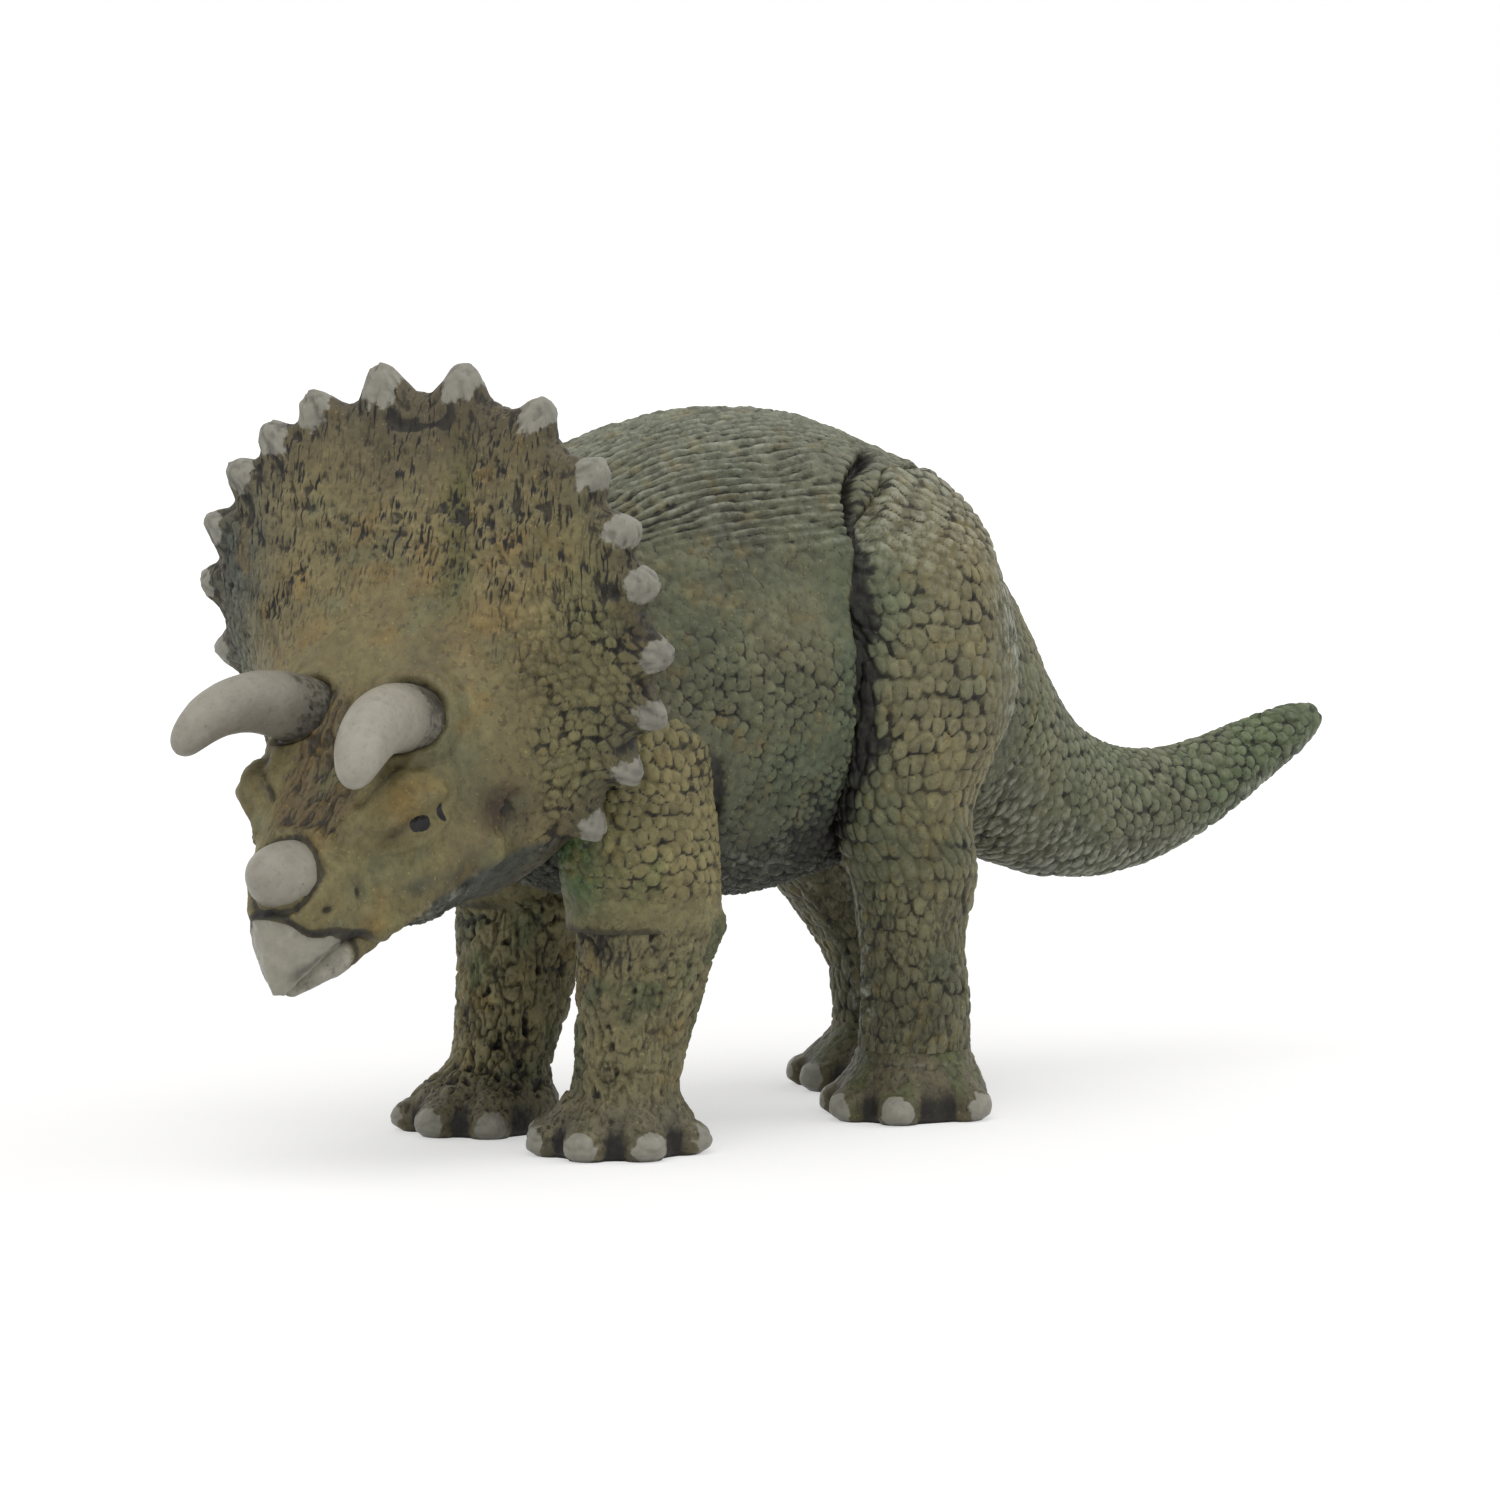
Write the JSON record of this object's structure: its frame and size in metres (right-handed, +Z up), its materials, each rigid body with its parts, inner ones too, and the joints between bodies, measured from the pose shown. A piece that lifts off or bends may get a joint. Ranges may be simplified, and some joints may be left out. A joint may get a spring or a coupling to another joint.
{
  "type": "toy dinosaur figure",
  "caption": "Small solid vinyl toy figure of a horned dinosaur with a studded neck frill, walking with its head turned and lowered, standing on flat soles.",
  "frame": {"origin": "on the floor under the middle of the figure's outline", "axes": "+Z up, the figure walks towards -Y, its left side is at +X, its tail points to +Y"},
  "size_m": [0.0416, 0.1164, 0.0616],
  "materials": {
    "body_vinyl": "satin painted soft vinyl, olive green with dark wash in the scales",
    "tail_vinyl": "satin painted soft vinyl, grey green",
    "head_vinyl": "satin painted soft vinyl, yellow brown with a dark rim on the frill",
    "foot_vinyl": "satin painted soft vinyl, brown with dark wash and pale grey nails",
    "horn_vinyl": "satin painted vinyl, warm light grey"
  },
  "bodies": {
    "root": {"torso": "body_vinyl", "hindleg_left": "body_vinyl", "hindleg_right": "body_vinyl", "hind_foot_left": "foot_vinyl", "hind_foot_right": "foot_vinyl", "foreleg_left": "foot_vinyl", "foreleg_right": "foot_vinyl", "tail": "tail_vinyl", "head": "head_vinyl", "lower_jaw": "horn_vinyl", "nose_horn": "horn_vinyl", "brow_horn_left": "horn_vinyl", "brow_horn_right": "horn_vinyl"}
  },
  "joints": []
}
